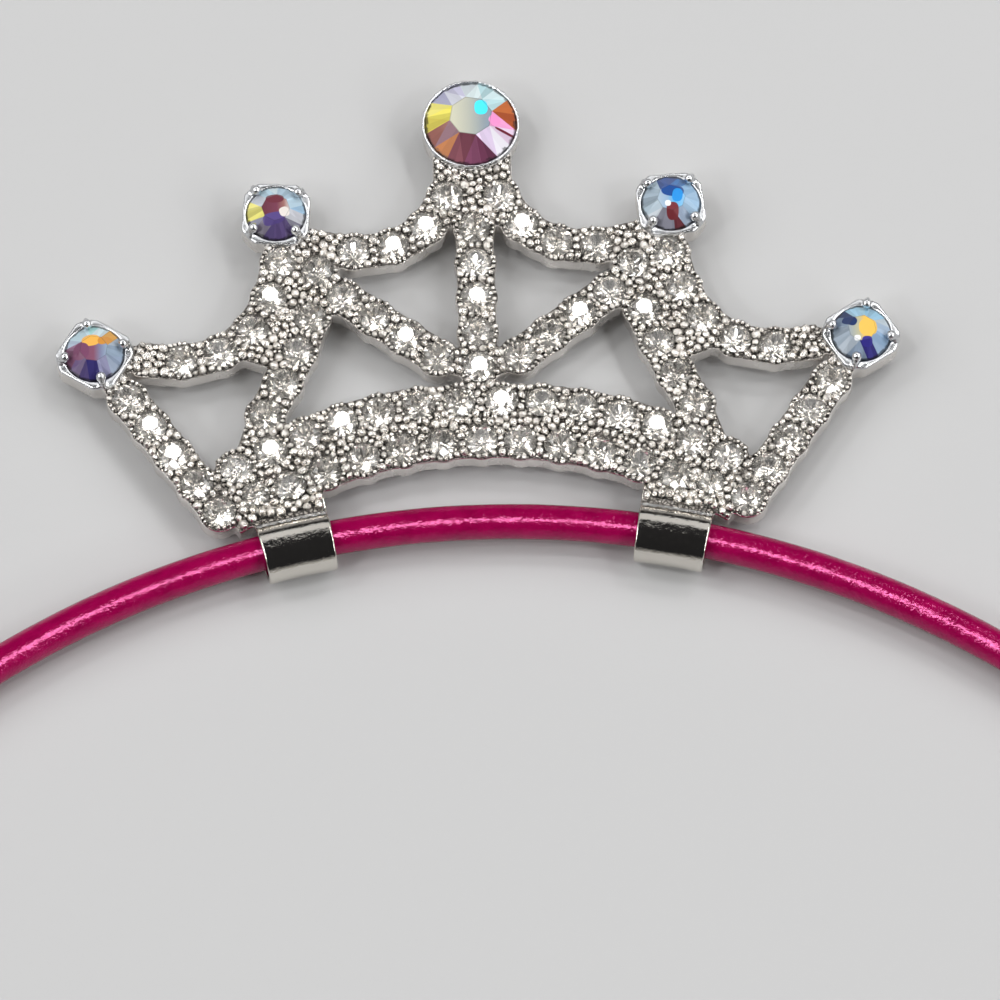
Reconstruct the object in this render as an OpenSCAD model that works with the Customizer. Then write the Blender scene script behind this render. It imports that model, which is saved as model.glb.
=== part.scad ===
// Mini crown on a thin head band, lying on its back with the front of the crown upward.
// Sizes are in millimetres. X runs along the crown's width and Y from the ends of the band
// towards the crown's tip. The outlines are drawn from the centre of the arch, and place()
// then moves each piece so that the origin is under the middle of the whole part.

/* [Head band] */
// Radius of the arch over the head, to the middle of the band
arch_r = 60.7; // [54:0.1:70]
// Diameter of the round band
band_d = 2.4; // [2:0.1:3]
// Angle from the top of the arch to the start of each side
arch_angle = 65; // [58:1:70]
// Radius of each side, to the middle of the band
side_r = 95; // [80:1:120]
// Angle that each side turns through, down to its end
side_angle = 52; // [42:1:58]
// How much thinner each side is than the arch, and each end's ball than the side
band_step = 0.04; // [0.02:0.01:0.1]

/* [Crown] */
// Distance between the middles of the two outer stones
crown_w = 51.6; // [46:0.2:60]
// Height of the centre stone's middle above the middle of the band
crown_h = 29.3; // [27:0.1:36]
// Thickness of the cast frame
frame_t = 1.4; // [1.35:0.05:2]
// How far the frame's front stands above the middle of the band
frame_front = 0.7; // [0.5:0.05:1]
// Width of a bar between two cups
bar_w = 2.6; // [2.2:0.1:2.7]
// Width of the web that joins a bar's end to the next piece
tie_w = 2; // [1.6:0.1:2.4]
// Width of the neck under the centre stone
neck_w = 5.4; // [4:0.1:6]
// Gap between the band and the frame's lower edge
frame_gap = 0.15; // [0.1:0.05:0.5]

/* [Small stones] */
// Diameter of a small stone
pave_d = 2.3; // [2:0.1:2.5]
// Height of a small stone above its widest line
pave_crown = 0.55; // [0.3:0.05:0.8]
// Depth of a small stone below its widest line
pave_deep = 0.95; // [0.6:0.05:1.1]
// Width of a small stone's flat top as a share of its diameter
pave_table = 0.5; // [0.4:0.02:0.6]
// Metal left between two seats
seat_wall = 0.2; // [0.15:0.05:0.4]
// Metal left outside a seat
seat_rim = 0.25; // [0.15:0.05:0.4]
// Gap between a stone and its seat
seat_gap = 0.05; // [0.03:0.01:0.1]

/* [Large stones] */
// Diameter of the centre stone
centre_d = 6.2; // [5.4:0.1:7]
// Height of the centre stone above its girdle
centre_crown = 1.25; // [0.8:0.05:1.6]
// Depth of the centre stone below its girdle
centre_deep = 1.3; // [0.8:0.05:1.4]
// Turn of the centre stone's facets
centre_turn = 12; // [0:1:45]
// Diameter of the four other large stones
point_d = 4; // [3.4:0.1:4.6]
// Height of those stones above their girdle
point_crown = 0.9; // [0.6:0.05:1.3]
// Depth of those stones below their girdle
point_deep = 1.2; // [0.8:0.05:1.3]
// Width of a large stone's flat top as a share of its diameter
large_table = 0.48; // [0.36:0.02:0.6]
// Height of the girdle, the straight edge round a large stone
girdle_t = 0.12; // [0.06:0.02:0.2]
// Wall of the round cup that holds the centre stone
bezel_wall = 0.2; // [0.15:0.05:0.4]
// Height of that wall above the frame
bezel_lip = 0.35; // [0.2:0.05:0.5]
// Height of a large stone's girdle above the frame
girdle_lift = 0.15; // [0.05:0.05:0.3]
// Metal outside a point stone's seat, in the middle of a side of its square head
head_wall = 0.22; // [0.15:0.01:0.4]
// Metal outside that seat at the head's corners, which stand on a circle
head_corner = 0.55; // [0.46:0.01:0.8]
// Diameter of a prong
prong_d = 0.4; // [0.3:0.02:0.44]
// Diameter of the bead at the end of a prong, which leans in over the stone
prong_bead_d = 0.72; // [0.6:0.02:0.8]
// Turn of the square heads on the two inner points
mid_turn = 5; // [0:1:20]
// Turn of the square heads on the two outer points
outer_turn = 32; // [20:1:45]

/* [Clips] */
// Width of a clip along the band
clip_w = 4.8; // [3.5:0.1:6]
// Angle from the top of the arch to the middle of a clip
clip_angle = 11.9; // [9:0.1:14]
// Thickness of the clip's strip
strip_t = 0.4; // [0.3:0.05:0.6]
// Gap between the clip and the band
clip_gap = 0.1; // [0.06:0.02:0.2]
// Extra room in the clip on the side away from the crown
clip_slack = 0.5; // [0.2:0.05:1]
// Radius of the bend between the clip's tab and its loop
clip_bend = 0.8; // [0.5:0.05:1.2]
// Angle that the clip's end closes round the back of the band
rear_wrap = 50; // [20:1:60]

/* [Hidden] */
$fn = 64;
ring_fn = 360;
leather = "#b01a5a";
silver = "#c9c9c6";
crystal = "#e8e8ee";
aurora = "#c3b6d8";

band_r = band_d / 2;
side_band_r = band_r - band_step / 2;
tip_r = side_band_r - band_step / 2;
loop_in = band_r + clip_gap;
loop_out = loop_in + strip_t;
band_z = loop_out;
frame_top = band_z + frame_front;
frame_z = frame_top - frame_t;
girdle_z = frame_top + girdle_lift;
pave_r = pave_d / 2;
point_r = point_d / 2;
centre_r = centre_d / 2;
cup_r = pave_r + seat_gap + seat_rim;
bezel_r = centre_r + seat_gap + bezel_wall;
head_half = point_r + seat_gap + head_wall;
head_r = point_r + seat_gap + head_corner;
prong_at = point_r + seat_gap + head_corner / 2;
clearance_r = arch_r + band_r + frame_gap;

// Points of the crown's right half: share of half the crown's width, share of its height
centre_point = [0, 1];
mid_point = [0.52, 0.78];
outer_point = [1, 0.433];

// Middle lines of the bars on the right half, in the same shares: start and end of a
// straight bar, or start, bend and end of a curved one, which leans towards its bend
low_row = [[0, 0.195], [0.337, 0.195], [0.655, 0.017]];
high_row = [[0.055, 0.292], [0.36, 0.292], [0.667, 0.123]];
spine = [[0, 0.379], [0, 0.741]];
diagonal = [[0.107, 0.406], [0.357, 0.57]];
spire_side = [[0.07, 0.819], [0.163, 0.628], [0.442, 0.703]];
shoulder = [[0.512, 0.659], [0.566, 0.362], [0.891, 0.423]];
outer_strut = [[0.915, 0.323], [0.669, 0.019]];
inner_strut = [[0.415, 0.635], [0.407, 0.512], [0.57, 0.253]];
corner = [[0.589, 0.055], [0.643, 0.171]];
bars = [outer_strut, low_row, high_row, spine, spire_side, shoulder, diagonal, inner_strut, corner];
bend_steps = 8;

// Short webs that keep the ends of the bars joined to the points and to each other
ties = [
    [[0, high_row[0].y], spine[0]],
    [spine[0], diagonal[0]],
    [diagonal[1], inner_strut[0]],
    [inner_strut[0], spire_side[2]],
    [spire_side[2], mid_point],
    [mid_point, shoulder[0]],
    [shoulder[2], outer_point],
    [outer_point, outer_strut[0]],
    [inner_strut[2], bend_share(high_row, 0.9)]
];

// Corners of the web that fills the fork between the shoulder and the inner strut
fork = concat(
    [for (t = [0, 0.2, 0.4, 0.6]) bend_share(shoulder, t)],
    [for (t = [0.75, 0.5, 0.25, 0]) bend_share(inner_strut, t)]
);

function on_crown(share) = [share.x * crown_w / 2, arch_r + share.y * crown_h];

function bend_share(bar, t) = pow(1 - t, 2) * bar[0] + 2 * t * (1 - t) * bar[1] + t * t * bar[2];

function bar_line(bar) =
    len(bar) == 2
        ? [on_crown(bar[0]), on_crown(bar[1])]
        : [for (i = [0 : bend_steps]) on_crown(bend_share(bar, i / bend_steps))];

function line_length(line, i = 0) =
    i == len(line) - 1 ? 0 : norm(line[i + 1] - line[i]) + line_length(line, i + 1);

function along(line, s, i = 0) =
    let (step = norm(line[i + 1] - line[i]))
    s <= step || i == len(line) - 2
        ? line[i] + (line[i + 1] - line[i]) * s / step
        : along(line, s - step, i + 1);

function normal_at(line, i) =
    let (d = line[min(i + 1, len(line) - 1)] - line[max(i - 1, 0)])
    [-d.y, d.x] / norm(d);

// Small stones are tried at short steps along each bar, and one stays where it clears what is
// already in place, the square heads, the band and its own mirror image. Each thing in place
// is a point and the distance that a small stone's middle keeps from it.
pitch = pave_d + 2 * seat_gap + seat_wall;
try_step = pitch / 24;
rounding = pitch / 2000;
from_head = pave_r + seat_gap;
in_place = [[on_crown(centre_point), pitch - pave_r + centre_r]];
heads = [[mid_point, mid_turn], [outer_point, outer_turn]];
tried = [
    for (bar = bars)
        let (line = bar_line(bar))
            for (i = [0 : floor(line_length(line) / try_step)])
                along(line, i * try_step)
];

// Whether a small stone's middle clears a square head: beyond one of its sides or its corners
function clear_of(p, head) =
    let (d = p - on_crown(head[0]), a = head[1])
    norm(d) >= head_r + from_head - rounding
    || max(abs(d.x * cos(a) + d.y * sin(a)), abs(d.y * cos(a) - d.x * sin(a)))
        >= head_half + from_head - rounding;

function fits(p, placed) =
    (p.x == 0 || 2 * p.x >= pitch - rounding)
    && norm(p) >= clearance_r + cup_r
    && len([for (head = heads) if (!clear_of(p, head)) 1]) == 0
    && len([for (other = placed) if (norm(p - other[0]) < other[1] - rounding) 1]) == 0;

function with_small(placed, i = 0) =
    i == len(tried)
        ? placed
        : with_small(fits(tried[i], placed) ? concat(placed, [[tried[i], pitch]]) : placed, i + 1);

all_placed = with_small(in_place);
small_stones = [for (i = [len(in_place) : len(all_placed) - 1]) all_placed[i][0]];

side_x = (arch_r - side_r) * sin(arch_angle);
side_y = (arch_r - side_r) * cos(arch_angle);
end_angle = arch_angle + side_angle;
tip_at = [side_x + side_r * sin(end_angle), side_y + side_r * cos(end_angle)];
y_low = tip_at.y - tip_r;
y_high = on_crown(centre_point).y + bezel_r;

// The clip's tab reaches the middle line of the lower row of stones
tab_reach = lookup(clip_angle, [for (p = bar_line(low_row)) [atan2(p.x, p.y), norm(p)]]) - arch_r;
bend_z = frame_top + clip_bend;
bend_u = sqrt(pow(loop_out + clip_bend, 2) - pow(bend_z - band_z, 2));
bend_angle = atan2(bend_z - band_z, bend_u);

module place() {
    translate([0, -(y_low + y_high) / 2, 0]) children();
}

module both_sides() {
    children();
    mirror([1, 0, 0]) children();
}

// Part of a ring round the arch's centre, from one angle to another, measured from the top
// towards the right. Its cross-section is drawn with x outward from the radius r.
module swept(r, from, to) {
    rotate([0, 0, 90 - to])
        rotate_extrude(angle = to - from, $fn = ring_fn)
            translate([r, 0])
                children();
}

// Each side starts just inside the arch's end and is a little thinner, so the two round
// surfaces meet in a step and not along a line
module band() {
    overlap = band_step / arch_r * 180;
    color(leather) place() {
        translate([0, 0, band_z]) swept(arch_r, -arch_angle, arch_angle) circle(r = band_r);
        both_sides() {
            translate([side_x, side_y, band_z])
                swept(side_r, arch_angle - overlap, end_angle) circle(r = side_band_r);
            translate([tip_at.x, tip_at.y, band_z]) sphere(r = tip_r);
        }
    }
}

module strip_bend(centre, r_in, r_out, from, to) {
    reach = 2 * r_out;
    mid = (from + to) / 2;
    translate(centre)
        intersection() {
            difference() {
                circle(r = r_out);
                circle(r = r_in);
            }
            polygon([
                [0, 0],
                reach * [cos(from), sin(from)],
                reach * [cos(mid), sin(mid)],
                reach * [cos(to), sin(to)]
            ]);
        }
}

// The strip's cross-section: tab, bend, over the front of the band, round it and back
// under it. x is the distance from the middle of the band towards the crown.
module clip_section() {
    translate([bend_u, frame_top - strip_t]) square([tab_reach - bend_u, strip_t]);
    strip_bend([bend_u, bend_z], clip_bend, clip_bend + strip_t, 180 + bend_angle, 270);
    strip_bend([0, band_z], loop_in, loop_out, bend_angle, 90);
    translate([-clip_slack, band_z + loop_in]) square([clip_slack, strip_t]);
    strip_bend([-clip_slack, band_z], loop_in, loop_out, 90, 180);
    strip_bend([-clip_slack, band_z], loop_in, loop_out, 180, 270);
    translate([-clip_slack, band_z - loop_out]) square([clip_slack, strip_t]);
    strip_bend([0, band_z], loop_in, loop_out, 270, 270 + rear_wrap);
}

module clips() {
    half = asin(clip_w / 2 / arch_r);
    both_sides() swept(arch_r, clip_angle - half, clip_angle + half) clip_section();
}

module web(line, width) {
    last = len(line) - 1;
    polygon(concat(
        [for (i = [0 : last]) line[i] + normal_at(line, i) * width / 2],
        [for (i = [last : -1 : 0]) line[i] - normal_at(line, i) * width / 2]
    ));
}

// Solid metal between the two rows of the base
module base_web() {
    low = bar_line(low_row);
    high = bar_line(high_row);
    polygon(concat([low[0], [0, high[0].y]], high, [for (i = [len(low) - 1 : -1 : 1]) low[i]]));
}

module frame_half() {
    linear_extrude(frame_t) base_web();
    linear_extrude(frame_t) polygon([for (share = fork) on_crown(share)]);
    for (bar = bars) linear_extrude(frame_t) web(bar_line(bar), bar_w);
    for (tie = ties) linear_extrude(frame_t) web(bar_line(tie), tie_w);
    for (p = small_stones) translate([p.x, p.y, 0]) cylinder(r = cup_r, h = frame_t);
}

// A square block with rounded corners, as high as the top of the girdle that it surrounds
module square_head(head) {
    p = on_crown(head[0]);
    height = girdle_z + girdle_t - frame_z;
    translate([p.x, p.y, frame_z]) rotate(head[1])
        intersection() {
            translate([-head_half, -head_half, 0]) cube([2 * head_half, 2 * head_half, height]);
            cylinder(r = head_r, h = height);
        }
}

// A prong rises from each corner of a head and ends in a bead. The bead's middle is over the
// stone's edge, and it clears the slope from that edge to the stone's flat top.
module prongs(head) {
    p = on_crown(head[0]);
    slope = atan2(point_crown, point_r * (1 - large_table));
    bead_r = prong_bead_d / 2;
    bead_z = girdle_z + girdle_t + (bead_r + seat_gap) / cos(slope);
    translate([p.x, p.y, 0]) rotate(head[1])
        for (a = [45 : 90 : 315]) rotate(a) {
            translate([prong_at, 0, girdle_z]) cylinder(r = prong_d / 2, h = bead_z - girdle_z);
            translate([point_r, 0, bead_z]) sphere(r = bead_r);
        }
}

module neck() {
    low = on_crown(spine[1]).y;
    translate([-neck_w / 2, low, frame_z])
        cube([neck_w, on_crown(centre_point).y - low, frame_t]);
}

// The cone below a stone's widest line, one seat_gap wider than the stone all round. It runs
// on above that line where scale is over 1.
module seat(p, r, deep, z, scale = 1) {
    wide = r + seat_gap;
    cone_h = wide * deep / r;
    translate([p.x, p.y, z - cone_h]) cylinder(r1 = 0, r2 = wide * scale, h = cone_h * scale);
}

// A large stone's seat goes on upwards with straight walls round the girdle
module large_seat(p, r, deep) {
    seat(p, r, deep, girdle_z);
    translate([p.x, p.y, girdle_z]) cylinder(r = r + seat_gap, h = bezel_lip);
}

module seats() {
    through = 1.1;
    both_sides() {
        for (p = small_stones) seat(p, pave_r, pave_deep, frame_top, through);
        for (head = heads) large_seat(on_crown(head[0]), point_r, point_deep);
    }
    large_seat(on_crown(centre_point), centre_r, centre_deep);
}

module crown_frame() {
    centre = on_crown(centre_point);
    color(silver) place() union() {
        difference() {
            union() {
                difference() {
                    union() {
                        translate([0, 0, frame_z]) both_sides() frame_half();
                        neck();
                    }
                    cylinder(r = clearance_r, h = frame_top + 1, $fn = ring_fn);
                }
                both_sides() for (head = heads) square_head(head);
                translate([centre.x, centre.y, frame_z])
                    cylinder(r = bezel_r, h = frame_t + bezel_lip);
                clips();
            }
            seats();
        }
        both_sides() for (head = heads) prongs(head);
    }
}

// A cut stone round the z axis with its widest line at z = 0: a table of eight sides,
// a crown of eight triangles and sixteen girdle facets, and sixteen facets below
module cut_stone(r, crown, deep, table_share, girdle) {
    sides = 8;
    flat_r = r * table_share;
    table = [
        for (i = [0 : sides - 1])
            [flat_r * cos(i * 360 / sides), flat_r * sin(i * 360 / sides), girdle + crown]
    ];
    edge = [for (i = [0 : 2 * sides - 1]) [r * cos(i * 180 / sides), r * sin(i * 180 / sides)]];
    upper = [for (p = edge) [p.x, p.y, girdle]];
    lower = [for (p = edge) [p.x, p.y, 0]];
    straight = girdle > 0;
    points = concat(table, upper, straight ? lower : [], [[0, 0, -deep]]);
    first_up = sides;
    first_low = straight ? 3 * sides : sides;
    culet = len(points) - 1;
    turn = 2 * sides;
    faces = concat(
        [[for (i = [sides - 1 : -1 : 0]) i]],
        [for (i = [0 : sides - 1]) [i, (i + 1) % sides, first_up + 2 * i + 1]],
        [for (i = [0 : sides - 1]) [i, first_up + 2 * i + 1, first_up + 2 * i]],
        [for (i = [0 : sides - 1]) [i, first_up + 2 * i, first_up + (2 * i + turn - 1) % turn]],
        straight ? [for (i = [0 : turn - 1]) [first_up + i, first_up + (i + 1) % turn,
            first_low + (i + 1) % turn, first_low + i]] : [],
        [for (i = [0 : turn - 1]) [first_low + i, first_low + (i + 1) % turn, culet]]
    );
    polyhedron(points, faces);
}

module pave_stones() {
    color(crystal) place()
        for (p = small_stones, side = p.x == 0 ? [1] : [1, -1])
            translate([side * p.x, p.y, frame_top])
                cut_stone(pave_r, pave_crown, pave_deep, pave_table, 0);
}

module point_stone(at, turn, side) {
    p = on_crown(at);
    color(aurora) place()
        translate([side * p.x, p.y, girdle_z])
            rotate(side * turn)
                cut_stone(point_r, point_crown, point_deep, large_table, girdle_t);
}

module stone_centre() {
    p = on_crown(centre_point);
    color(aurora) place()
        translate([p.x, p.y, girdle_z])
            rotate(centre_turn)
                cut_stone(centre_r, centre_crown, centre_deep, large_table, girdle_t);
}

module stone_mid_left() {
    point_stone(mid_point, mid_turn, -1);
}

module stone_mid_right() {
    point_stone(mid_point, mid_turn, 1);
}

module stone_outer_left() {
    point_stone(outer_point, outer_turn, -1);
}

module stone_outer_right() {
    point_stone(outer_point, outer_turn, 1);
}

band();
crown_frame();
pave_stones();
stone_centre();
stone_mid_left();
stone_mid_right();
stone_outer_left();
stone_outer_right();
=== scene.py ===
import math
import random

import bmesh
import bpy
import numpy as np
from mathutils import Matrix, Vector
from mathutils.bvhtree import BVHTree
from mathutils.kdtree import KDTree


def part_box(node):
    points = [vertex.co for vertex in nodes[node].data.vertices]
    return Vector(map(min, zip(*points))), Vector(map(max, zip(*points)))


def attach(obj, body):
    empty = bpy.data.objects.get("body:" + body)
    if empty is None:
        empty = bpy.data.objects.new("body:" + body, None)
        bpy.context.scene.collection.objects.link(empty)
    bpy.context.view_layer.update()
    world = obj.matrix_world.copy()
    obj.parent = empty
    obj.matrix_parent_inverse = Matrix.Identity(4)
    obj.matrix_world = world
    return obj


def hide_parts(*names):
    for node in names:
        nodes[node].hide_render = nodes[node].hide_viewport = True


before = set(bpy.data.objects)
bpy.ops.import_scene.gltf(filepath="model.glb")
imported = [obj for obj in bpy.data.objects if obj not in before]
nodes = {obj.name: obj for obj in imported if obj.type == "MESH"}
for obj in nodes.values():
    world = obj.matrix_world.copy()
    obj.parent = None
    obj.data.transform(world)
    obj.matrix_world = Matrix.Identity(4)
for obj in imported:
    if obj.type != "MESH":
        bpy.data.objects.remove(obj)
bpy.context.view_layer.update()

scene = bpy.context.scene
MM = 0.001

# ---------------------------------------------------------------- main sizes
# Lengths are in millimetres, and become metres with MM. Angles are in degrees.
ARCH_R, ARCH_ANGLE = 60.7, 65.0     # the band's arch, and how far it goes to each side
SIDE_R, SIDE_ANGLE = 95.0, 52.0     # the flatter side that follows it
BAND_R, BAND_Z = 1.2, 1.7           # the band's own radius, and the height of its middle
FRAME_TOP, FRAME_Z = 2.4, 1.0       # heights of the crown's flat front and of its back
FRAME_IN = 62.05                    # the crown's lower edge, from the arch's centre
CROWN_H = 29.3                      # from the arch's top to the centre stone's middle
# a small stone's radius, its height above its widest line and its depth below it
PAVE_R, PAVE_CROWN, PAVE_DEEP = 1.15, 0.55, 0.95
# one more, smaller stone stands above each clip: its place from the arch's centre, its radius
EXTRA_STONE, EXTRA_R = (15.15, 62.85), 0.95
TABLE = 0.48                        # a large stone's flat top, as a share of its width
CLIP_ANGLE, CLIP_W = 11.9, 4.8      # a clip's place along the arch, and its width
STRIP_T, LOOP_OUT = 0.4, 1.7        # its strip's thickness, and its outer radius at the band
CLIP_SLACK = 0.5                    # how much longer its loop is than the band is thick
CLIP_BEND = 0.8                     # inner radius of the bend between its tab and its loop
REAR_WRAP = 50.0                    # how far the strip comes up again behind the band
TURN = 6.28                         # a full turn in radians, for random angles
# the centre stone's middle is CROWN_H above the arch's top, so the arch's centre follows from it
stone_lo, stone_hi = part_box("stone_centre")
ARCH_Y = (stone_lo.y + stone_hi.y) / 2 / MM - CROWN_H - ARCH_R


# ---------------------------------------------------------------- camera
def make_camera():
    elevation, azimuth, roll = math.radians(66), math.radians(-2.8), math.radians(1.0)
    # at this distance, with this lens, 15 pixels of the picture are one millimetre
    distance, target = 420.0, Vector((1.1, 44.99, 1.7))
    back = Vector((
        math.sin(azimuth) * math.cos(elevation),
        -math.cos(azimuth) * math.cos(elevation),
        math.sin(elevation),
    ))
    right = Vector((math.cos(azimuth), math.sin(azimuth), 0))
    up = back.cross(right)
    turned_right = math.cos(roll) * right + math.sin(roll) * up
    turned_up = -math.sin(roll) * right + math.cos(roll) * up
    data = bpy.data.cameras.new("camera")
    data.sensor_width, data.lens = 36.0, 226.8
    data.clip_start, data.clip_end = 0.01, 20.0
    camera = bpy.data.objects.new("camera", data)
    scene.collection.objects.link(camera)
    turn = Matrix((turned_right, turned_up, back)).transposed()
    camera.matrix_world = Matrix.Translation((target + back * distance) * MM) @ turn.to_4x4()
    scene.camera = camera


make_camera()


# ---------------------------------------------------------------- small helpers
def new_object(name, vertices, faces, smooth=False):
    mesh = bpy.data.meshes.new(name)
    mesh.from_pydata([tuple(v) for v in vertices], [], faces)
    mesh.polygons.foreach_set("use_smooth", [smooth] * len(mesh.polygons))
    mesh.update()
    made = bpy.data.objects.new(name, mesh)
    scene.collection.objects.link(made)
    return made


def outward(piece):
    """Turn every face so that its front is outward."""
    mesh = bmesh.new()
    mesh.from_mesh(piece.data)
    bmesh.ops.recalc_face_normals(mesh, faces=mesh.faces)
    mesh.to_mesh(piece.data)
    mesh.free()


def finish_piece(piece, replaced=None):
    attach(piece, "root")
    if replaced:
        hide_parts(replaced)


class Shader:
    """A material's node tree, with short calls for the nodes used here."""

    def __init__(self, name):
        self.material = bpy.data.materials.new(name)
        self.material.use_nodes = True
        self.tree = self.material.node_tree
        self.tree.nodes.clear()
        self.output = self.add("ShaderNodeOutputMaterial")
        self.place = self.add("ShaderNodeTexCoord").outputs["Object"]

    def add(self, kind, **values):
        node = self.tree.nodes.new(kind)
        for key, value in values.items():
            setattr(node, key, value)
        return node

    def link(self, a, b):
        self.tree.links.new(a, b)

    def wire(self, target, value):
        if isinstance(value, bpy.types.NodeSocket):
            self.link(value, target)
        else:
            target.default_value = value

    def principled(self, **values):
        node = self.add("ShaderNodeBsdfPrincipled")
        for key, value in values.items():
            self.wire(node.inputs[key.replace("_", " ")], value)
        return node

    def surface(self, shader):
        self.link(shader.outputs[0], self.output.inputs["Surface"])

    def math(self, operation, a, b=0.0):
        node = self.add("ShaderNodeMath", operation=operation)
        for socket, value in zip(node.inputs, (a, b)):
            self.wire(socket, value)
        return node.outputs[0]

    def weighed(self, a, share_a, b, share_b):
        """The sum of a and b, each times its share."""
        first, second = self.math("MULTIPLY", a, share_a), self.math("MULTIPLY", b, share_b)
        return self.math("ADD", first, second)

    def direction(self, x, y):
        """The direction of (x, y), from 0 at -180 degrees to 1 at 180 degrees."""
        return self.math("ADD", self.math("DIVIDE", self.math("ARCTAN2", y, x), 2 * math.pi), 0.5)

    def scatter(self, value, size):
        """A number from 0 to 1 that is as good as random from one value to the next."""
        return self.math("FRACT", self.math("MULTIPLY", self.math("SINE", value), size))

    def split(self, vector):
        node = self.add("ShaderNodeSeparateXYZ")
        self.link(vector, node.inputs[0])
        return node.outputs

    def noise(self, scale, detail, roughness):
        node = self.add("ShaderNodeTexNoise")
        self.link(self.place, node.inputs["Vector"])
        node.inputs["Scale"].default_value = scale
        node.inputs["Detail"].default_value = detail
        node.inputs["Roughness"].default_value = roughness
        return node.outputs["Fac"]

    def cells(self, scale):
        """The distance to the nearest line between cells."""
        node = self.add("ShaderNodeTexVoronoi", feature="DISTANCE_TO_EDGE")
        self.link(self.place, node.inputs["Vector"])
        node.inputs["Scale"].default_value = scale
        return node.outputs["Distance"]

    def ramp(self, fac, stops, interpolation="LINEAR"):
        node = self.add("ShaderNodeValToRGB")
        node.color_ramp.interpolation = interpolation
        elements = node.color_ramp.elements
        while len(elements) > 1:
            elements.remove(elements[-1])
        for i, (position, colour) in enumerate(stops):
            element = elements[0] if i == 0 else elements.new(position)
            element.position = position
            grey = isinstance(colour, (int, float))
            element.color = (colour, colour, colour, 1) if grey else (*colour, 1)
        self.link(fac, node.inputs[0])
        return node.outputs[0]

    def mix(self, fac, a, b, blend="MIX"):
        node = self.add("ShaderNodeMix", data_type="RGBA", blend_type=blend)
        self.wire(node.inputs[0], fac)
        for socket, value in ((node.inputs[6], a), (node.inputs[7], b)):
            self.wire(socket, value if isinstance(value, bpy.types.NodeSocket) else (*value, 1))
        return node.outputs[2]

    def bump(self, height, strength, distance):
        node = self.add("ShaderNodeBump")
        node.inputs["Strength"].default_value = strength
        node.inputs["Distance"].default_value = distance
        self.link(height, node.inputs["Height"])
        return node.outputs["Normal"]

    def mix_shader(self, fac, a, b):
        node = self.add("ShaderNodeMixShader")
        self.wire(node.inputs[0], fac)
        self.link(a.outputs[0], node.inputs[1])
        self.link(b.outputs[0], node.inputs[2])
        return node


def linear(red, green, blue):
    """A colour given in the usual 0 to 255 steps, as the shaders take it."""
    def channel(value):
        value /= 255
        return value / 12.92 if value <= 0.04045 else ((value + 0.055) / 1.055) ** 2.4
    return channel(red), channel(green), channel(blue)


def paint(piece, shader):
    piece.data.materials.clear()
    piece.data.materials.append(shader.material)


# ---------------------------------------------------------------- materials
def leather_material():
    """Lacquered pink leather: a slightly mottled ground under a glossy film with small lumps."""
    s = Shader("pink_leather")
    tone = s.noise(700, 4, 0.6)
    colour = s.ramp(tone, [(0.3, linear(136, 0, 62)), (0.7, linear(160, 5, 76))])
    lumps = s.noise(2100, 3, 0.55)
    grain = s.noise(6500, 2, 0.5)
    creases = s.ramp(s.cells(900), [(0.0, 0.0), (0.05, 1.0)])
    height = s.math("ADD", lumps, s.weighed(grain, 0.30, creases, 0.06))
    s.surface(s.principled(
        Base_Color=colour, Roughness=s.ramp(grain, [(0.3, 0.12), (0.7, 0.20)]),
        Specular_IOR_Level=0.8, Specular_Tint=(1.0, 0.26, 0.58, 1),
        Normal=s.bump(height, 1.0, 0.00006),
    ))
    return s


def cast_material():
    """Plated casting: bright walls, and a grained front painted darker as painted shade, with
    near-black painted shade in the lines of its grain. The smoother settings stand up from the
    front and are painted a darker, bluish grey: painted shade and a painted sheen."""
    s = Shader("cast_silver")
    geometry = s.add("ShaderNodeNewGeometry")
    front = s.ramp(s.split(geometry.outputs["Normal"])[2], [(0.55, 0.0), (0.85, 1.0)])
    # settings: the metal standing up from the front, which gets a darker, bluish grey below:
    # painted shade and a painted sheen
    setting = s.math("GREATER_THAN", s.split(s.place)[2], (FRAME_TOP + 0.08) * MM)
    front = s.math("MULTIPLY", front, s.math("SUBTRACT", 1.0, setting))
    broad = s.noise(520, 3, 0.5)
    fine = s.noise(3600, 3, 0.6)
    lines = s.ramp(s.cells(3800), [(0.0, 0.0), (0.16, 1.0)])
    wall = s.ramp(broad, [(0.25, (0.76, 0.725, 0.69)), (0.75, (0.95, 0.92, 0.885))])
    # painted shade: the front is the wall's colour darkened, and near-black along the lines of
    # its grain
    shaded_grains = s.mix(1.0, wall, (0.42, 0.405, 0.385), "MULTIPLY")
    ground = s.mix(lines, (0.06, 0.052, 0.047), shaded_grains)
    height = s.weighed(fine, 0.4, lines, s.math("MULTIPLY", front, 1.6))
    s.surface(s.principled(
        Base_Color=s.mix(setting, s.mix(front, wall, ground), (0.63, 0.64, 0.655)),
        Metallic=1.0, Roughness=s.ramp(broad, [(0.3, 0.2), (0.7, 0.32)]),
        Normal=s.bump(height, 0.8, 0.00005),
    ))
    return s


def polished_material():
    """The clips' rolled strip: polished, with shallow waves and finer dents."""
    s = Shader("polished_strip")
    waves = s.noise(260, 2, 0.5)
    fine = s.noise(4000, 2, 0.5)
    height = s.math("ADD", waves, s.weighed(fine, 0.08, s.noise(1500, 4, 0.65), 1.3))
    s.surface(s.principled(
        Base_Color=s.ramp(waves, [(0.3, (0.66, 0.63, 0.575)), (0.7, (0.74, 0.71, 0.655))]),
        Metallic=1.0, Roughness=s.ramp(fine, [(0.3, 0.07), (0.7, 0.12)]),
        Normal=s.bump(height, 0.6, 0.00004),
    ))
    return s


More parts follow.
